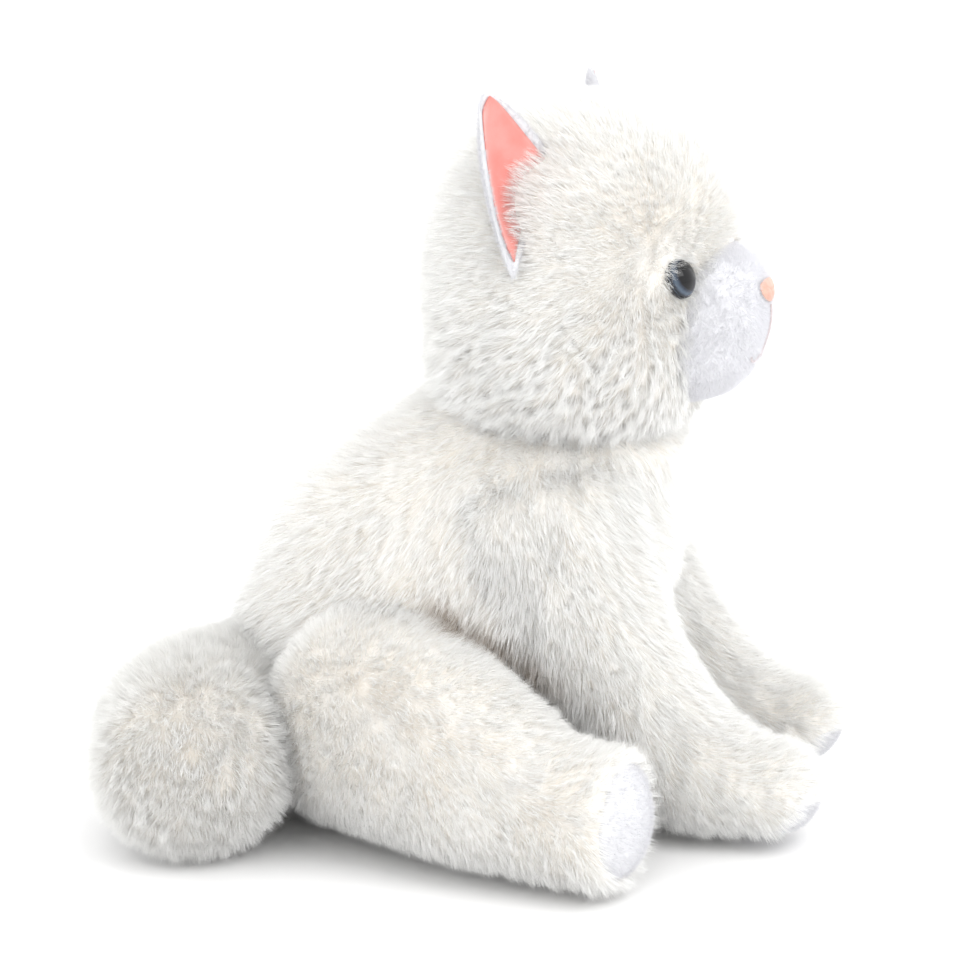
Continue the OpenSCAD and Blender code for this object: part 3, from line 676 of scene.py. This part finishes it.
nose = {"z": 205.5, "half": 8.4, "tall": 4.3, "dome": 1.5, "lift": 0.9, "stitch": 0.85, "ridge": 0.12}
mouth = {"top": 200.0, "low": 184.5, "arc": 5.6, "radius": 0.45, "lift": 1.1}


def noseGrid():
    # a rounded triangle of side-by-side stitches: rings shrink to the middle while the dome rises
    share, angle = np.meshgrid(np.sin(np.linspace(0.02, math.pi / 2, 14)),
                               np.linspace(0, 2 * math.pi, 60, False), indexing="ij")
    ca, sa = np.cos(angle), np.sin(angle)
    taper = 1 + 0.32 * sa
    x = nose["half"] * share * np.sign(ca) * np.abs(ca) ** 0.8 * taper
    z = nose["z"] + nose["tall"] * share * np.sign(sa) * np.abs(sa) ** 0.9
    lift = nose["lift"] + nose["dome"] * np.sqrt(1 - share ** 2 * 0.999)
    lift = lift + nose["ridge"] * np.cos(2 * math.pi * x / nose["stitch"])
    return toHead(muzzleFront(x, z, lift))


def tubeGrid(path, radius, m=10):
    # rings square to the path
    along = unit(np.gradient(path, axis=0))
    first = unit(np.cross(along, [0.3, 1.0, 0.1]))
    second = np.cross(along, first)
    angle = np.linspace(0, 2 * math.pi, m, endpoint=False)
    ca, sa = np.cos(angle)[:, None], np.sin(angle)[:, None]
    return path[:, None] + radius * (first[:, None] * ca + second[:, None] * sa)


def mouthGrids():
    # one stitch line down from the nose and two short arcs outwards from its foot
    line = np.linspace(mouth["top"], mouth["low"], 16)
    grids = [tubeGrid(toHead(muzzleFront(np.zeros(16), line, mouth["lift"])), mouth["radius"])]
    sweep = np.linspace(0, 0.8 * math.pi, 16)
    for sign in (-1, 1):
        x = sign * mouth["arc"] * (1 - np.cos(sweep))
        z = mouth["low"] - mouth["arc"] * np.sin(sweep)
        grids.append(tubeGrid(toHead(muzzleFront(x, z, mouth["lift"])), mouth["radius"]))
    return grids


def awayFromNose(root, n):
    # the short pile stops at the nose's edge
    local = turned(root, -headTurn["degrees"], headTurn["centre"])
    far = (local[:, 0] / nose["half"]) ** 2 + ((local[:, 2] - nose["z"]) / nose["tall"]) ** 2
    return (far > 0.8).astype(float)


print("cutting the soles")
sole = {"hindDepth": 8.0, "frontFacing": 0.55, "lift": 0.4, "under": 2.4}


def hindSoleMask(form):
    # 1 on the blunt end of the foot, 0 behind it
    tip = form.grid[-1].mean(0)
    axis = unit(tip - form.grid[-14].mean(0))
    return lambda p, n: np.clip((((p - tip) * axis).sum(-1) + sole["hindDepth"]) / 1.6 + 0.5, 0, 1)


def frontSoleMask(form):
    # 1 where the end of the paw faces forwards and down
    tip = form.grid[-1].mean(0)
    facing = unit(np.array([0, -0.72, -0.7]))
    return lambda p, n: (np.clip(((n * facing).sum(-1) - sole["frontFacing"]) / 0.12 + 0.5, 0, 1)
                         * np.clip((tip[1] + 34 - p[..., 1]) / 4, 0, 1))


def soleGrid(grid, mask):
    # the skin's last rings again, raised where the sole is and sunk under the skin everywhere else
    out = outwards(grid)
    raised = mask(grid, out)
    keep = slice(len(grid) // 2, None)
    return (grid + out * (-sole["under"] + (sole["under"] + sole["lift"]) * raised)[..., None])[keep]


print("growing the long pile")
limbs = list(frontLegs.values()) + list(hindLegs.values())


headPile = {"curl": 2.2, "cheekTop": 205.0, "crown": 0.78, "cheek": 0.98, "crownFrom": 215.0, "byEye": 0.82}


def cheekCurl(root):
    # the cheeks are matted: the pile curls more the lower it grows on the head, and not round the muzzle
    low = np.clip((headPile["cheekTop"] - root[:, 2]) / 25, 0, 1)
    return 1 + headPile["curl"] * low * np.clip((root[:, 1] + 130) / 12, 0, 1)


def headTrim(root):
    # short on the crown and round the eyes, full on the cheeks
    near = np.min([np.linalg.norm(root - c, axis=1) for c in eyeCentre.values()], axis=0)
    low = np.clip((headPile["crownFrom"] - root[:, 2]) / 30, 0, 1)
    clear = np.clip((near - 8) / 10, 0, 1)
    height = headPile["crown"] + (headPile["cheek"] - headPile["crown"]) * low
    return height * (headPile["byEye"] + (1 - headPile["byEye"]) * clear)


# how far the painted crease shade reaches from the neighbouring form, in mm, and where it fades out
creaseShadeReach = {"torso": 17.0, "frontLeg": 20.0, "hindLeg": 13.0, "soft": 8.0, "start": -20.0, "ramp": 12.0}


def gapTo(part, *others):
    # how deep in the crease between thigh and belly a root lies, which sets how much painted shade its strand gets:
    # (reach - distance) / soft from 0 to 1, fading out backwards from the start
    def gap(root):
        near = np.min([other.outside(root) for other in others], axis=0)
        return (np.clip((creaseShadeReach[part] - near) / creaseShadeReach["soft"], 0, 1)
                * np.clip((creaseShadeReach["start"] - root[:, 1]) / creaseShadeReach["ramp"], 0, 1))
    return gap


split = {"torsoAt": -5.0, "headAt": -8.0}     # mm, where the pile of torso (y) and head (x) changes piece


def halfSpace(axis, at, sign):
    # 1 on the side of the plane at that place on the axis to which sign points, 0 on the other
    return lambda root, n: (sign * (root[:, axis] - at) >= 0).astype(float)


for name, sign, seed in (("torsoFront", -1, 11), ("torsoBack", 1, 12)):
    half = halfSpace(1, split["torsoAt"], sign)
    # the belly pile next to the thighs gets painted crease shade
    look = {**longLook, "gap": gapTo("torso", *hindLegs.values())}
    piles[name] = strands(name + "Pile", skins["torso"], look, allOf(half, seenOutside(limbs + [head, tail])),
                          downwards, seed)
for side, sign in sideList:
    half = halfSpace(0, split["headAt"], sign)
    name = "head" + side.title()
    piles[name] = strands(name + "Pile", skins["head"], {**longLook, "curl": cheekCurl, "trim": headTrim},
                          allOf(half, seenOutside([muzzle, torso], 4.0), awayFromEyes), overEyes, 22 + sign)
soleMasks = {}
legKinds = (("frontLeg", frontLegs, frontSoleMask, 31), ("hindLeg", hindLegs, hindSoleMask, 41))


def beyondSole(mask):
    # the long pile stops in a ragged line inside the sole's edge
    return lambda root, n: (mask(root, n) < 0.5 + 0.5 * (noise(root, 2.5, 9) > 0)).astype(float)


def onlySole(mask):
    # the sole's own pile grows where its mask is above 0.6
    return lambda root, n: (mask(root, n) > 0.6).astype(float)


for side, sign in sideList:
    for part, forms, makeMask, seed in legKinds:
        name = part + side.title()
        mask = soleMasks[name] = makeMask(forms[side])
        # the leg pile next to the body or the other leg gets painted crease shade
        gap = gapTo(part, hindLegs[side]) if part == "frontLeg" else gapTo(part, frontLegs[side], torso)
        look = {**longLook, "length": 8.0, "count": 98000, "gap": gap}
        piles[name] = strands(name + "Pile", skins[name], look, allOf(seenOutside([torso]), beyondSole(mask)),
                              alongForm(forms[side]), seed)
tailLook = {**longLook, "length": 10.0, "tuft": 6.0}
piles["tail"] = strands("tailPile", skins["tail"], tailLook, seenOutside([torso]), alongForm(tail), 51)
for pile in piles.values():
    dress(pile, plush)

print("growing the short pile and dressing the trim")
shortLook = {**longLook, "count": 90000, "length": 2.6, "width": 0.15, "lean": 0.4, "pull": 0.02, "swirl": 0.03,
             "stray": 0.2, "bentShare": 0.0, "tuft": 3.0, "tuftRise": 0.02}
piles["muzzle"] = strands("muzzlePile", skins["muzzle"], shortLook,
                          allOf(seenOutside([head], 1.0), awayFromNose), fromFace, 61)
satin = material("earSatin", (0.66, 0.21, 0.18), (0.72, 0.28, 0.25), scale=90, rough=0.55, sheen=0.5, bump=0.15,
                 grain=1500)
peach = material("noseThread", (0.58, 0.30, 0.22), (0.66, 0.38, 0.29), scale=500, rough=0.5, sheen=0.4, bump=0.3)
paleThread = material("paleThread", (0.50, 0.40, 0.40), (0.58, 0.48, 0.48), scale=400, rough=0.7, sheen=0.2)
trim = {
    "nose": dress(surfaceMesh("noseEmbroidery", noseGrid()), peach),
    "mouth": dress(surfaceMesh("mouthStitches", *mouthGrids()), paleThread),
}
stands = {"torso": ["body_cover", "body_stuffing"], "head": ["head_cover", "head_stuffing"],
          "muzzle": ["muzzle_cover", "muzzle_stuffing"], "tail": ["tail_cover", "tail_stuffing"]}
earPileLook = {**shortLook, "count": 16000, "length": 2.2}
solePileLook = {**shortLook, "count": 22000}


def offLining(lining):
    # pile grows on the ear's back and over its rim, and not within 1.7 mm of the lining's face
    def keep(root, n):
        near = np.min(np.linalg.norm(root[:, None] - lining[None, ::3], axis=2), axis=1)
        return (near > 1.7).astype(float)
    return keep


def upwards(root, n):
    # the ears' pile points to the tips
    return np.tile([0, 0, 1.0], (len(root), 1))


for side, sign in sideList:
    t = side.title()
    outer, inner = (toHead(earGrid(0.0, 1, off), sign) for off in (ear["thick"], 0.0))
    trim["earBack" + t] = dress(slabMesh("earBack" + t, inner, outer), shortBacking)
    front, rear = (toHead(earGrid(0.06, ear["lining"], off), sign) for off in (-1.0, -0.2))
    trim["earLining" + t] = dress(slabMesh("earLining" + t, front, rear), satin)
    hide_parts("ear_back_" + side)
    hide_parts("ear_lining_" + side)
    lining = toHead(earGrid(0.03, ear["lining"] * 0.97, -0.9), sign).reshape(-1, 3)
    piles["ear" + t] = strands("ear" + t + "Pile", trim["earBack" + t], earPileLook, offLining(lining), upwards, 71)
    for name in ("earBack" + t, "earLining" + t):
        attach(trim[name], "ear_" + side)
    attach(piles["ear" + t], "ear_" + side)
    for part, body in (("frontLeg", "front_leg_"), ("hindLeg", "hind_leg_")):
        name = part + t
        grid = floorLevel(soleGrid(skinGrids[name], soleMasks[name]), 0.5)
        patch = dress(surfaceMesh(part + "Sole" + t, grid), shortBacking)
        legs = frontLegs if part == "frontLeg" else hindLegs
        solePile = strands(part + "Sole" + t + "Pile", patch, solePileLook, onlySole(soleMasks[name]),
                           alongForm(legs[side]), 81)
        piles[part + "Sole" + t] = solePile
        for piece in (patch, solePile, skins[name], piles[name]):
            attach(piece, body + side)
        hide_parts(part.replace("Leg", "").lower() + "_sole_" + side)
        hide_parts(body + "cover_" + side, body + "stuffing_" + side)
for name in piles:
    if "Sole" in name or name.startswith("ear") or name == "muzzle":
        dress(piles[name], muzzlePlush if name == "muzzle" else shortPlush)
for name, nodes in stands.items():
    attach(skins[name], "head" if name == "muzzle" else name)
    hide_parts(*nodes)
for name, body in (("torsoFront", "torso"), ("torsoBack", "torso"), ("headLeft", "head"), ("headRight", "head"),
                   ("muzzle", "head"), ("tail", "tail")):
    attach(piles[name], body)
for name, node in (("nose", "nose"), ("mouth", "mouth_thread")):
    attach(trim[name], "head")
    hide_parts(node)

print("dressing the inner pieces")
linen = material("bagLinen", (0.56, 0.52, 0.42), (0.70, 0.66, 0.56), scale=120, rough=0.9, bump=0.4)
fibre = material("fibreFill", (0.86, 0.86, 0.85), (0.93, 0.93, 0.92), scale=200, rough=0.95, bump=0.5)
white = material("washerPlastic", (0.74, 0.74, 0.71), (0.80, 0.80, 0.78), scale=150, rough=0.45, bump=0.1)
black = material("postPlastic", (0.012, 0.012, 0.014), (0.02, 0.02, 0.024), scale=150, rough=0.3, bump=0.05)
iris = material("irisPrint", (0.10, 0.13, 0.18), (0.16, 0.20, 0.27), scale=900, rough=0.4, bump=0.05)
seam = material("seamThread", (0.70, 0.70, 0.69), (0.78, 0.78, 0.77), scale=500, rough=0.7, bump=0.3)
for node, m in (("seat_pellet_bag", linen), ("tail_pellet_bag", linen), ("neck_stuffing", fibre),
                ("back_seam_thread", seam)):
    dress(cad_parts[node], m)
for side, sign in sideList:
    dress(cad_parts["foot_pellet_bag_" + side], linen)
    dress(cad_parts["eye_dome_" + side], eyeMaterial(side))
    dress(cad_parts["eye_iris_" + side], iris)
    dress(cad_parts["eye_post_" + side], black)
    dress(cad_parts["eye_washer_" + side], white)

print("setting floor, light and camera")
floorMesh = bpy.data.meshes.new("floor")
floorMesh.from_pydata([(-30, -30, 0), (30, -30, 0), (30, 30, 0), (-30, 30, 0)], [], [(0, 1, 2, 3)])
floor = bpy.data.objects.new("floor", floorMesh)
scene.collection.objects.link(floor)
floorMaterial = bpy.data.materials.new("floorWhite")
floorMaterial.use_nodes = True
floorShader = floorMaterial.node_tree.nodes["Principled BSDF"]
floorShader.inputs["Base Color"].default_value = (0.9, 0.9, 0.9, 1)
floorShader.inputs["Roughness"].default_value = 0.9
floorMesh.materials.append(floorMaterial)

world = bpy.data.worlds.new("studio")
scene.world = world
world.use_nodes = True
world.node_tree.nodes["Background"].inputs["Color"].default_value = (1, 1, 1, 1)
world.node_tree.nodes["Background"].inputs["Strength"].default_value = 1.5


def areaLight(name, place, target, size, power):
    # a square lamp at place, in metres, turned to face target
    data = bpy.data.lights.new(name, "AREA")
    data.size, data.energy = size, power
    lamp = bpy.data.objects.new(name, data)
    lamp.location = place
    aim = np.array(target) - np.array(place)
    lamp.rotation_euler = (math.acos(-aim[2] / np.linalg.norm(aim)), 0, math.atan2(-aim[0], aim[1]))
    scene.collection.objects.link(lamp)
    return lamp


areaLight("key", (-0.7, -1.1, 1.3), (0, -0.05, 0.12), 0.9, 8)

# degrees, metres, and the focal length as a share of the sensor's width
view = {"azimuth": -78.0, "elevation": 13.0, "distance": 1.05, "target": (-0.022, -0.038, 0.128), "focal": 2.8144}
camera = bpy.data.objects.new("camera", bpy.data.cameras.new("camera"))
camera.data.sensor_width = 36
camera.data.lens = 36 * view["focal"]
camera.data.clip_start, camera.data.clip_end = 0.05, 60
a, e = math.radians(view["azimuth"]), math.radians(view["elevation"])
away = np.array([math.sin(a) * math.cos(e), -math.cos(a) * math.cos(e), math.sin(e)])
camera.location = np.array(view["target"]) + view["distance"] * away
camera.rotation_euler = (math.pi / 2 - e, 0, a)
scene.collection.objects.link(camera)
scene.camera = camera
scene.view_settings.view_transform = "Standard"
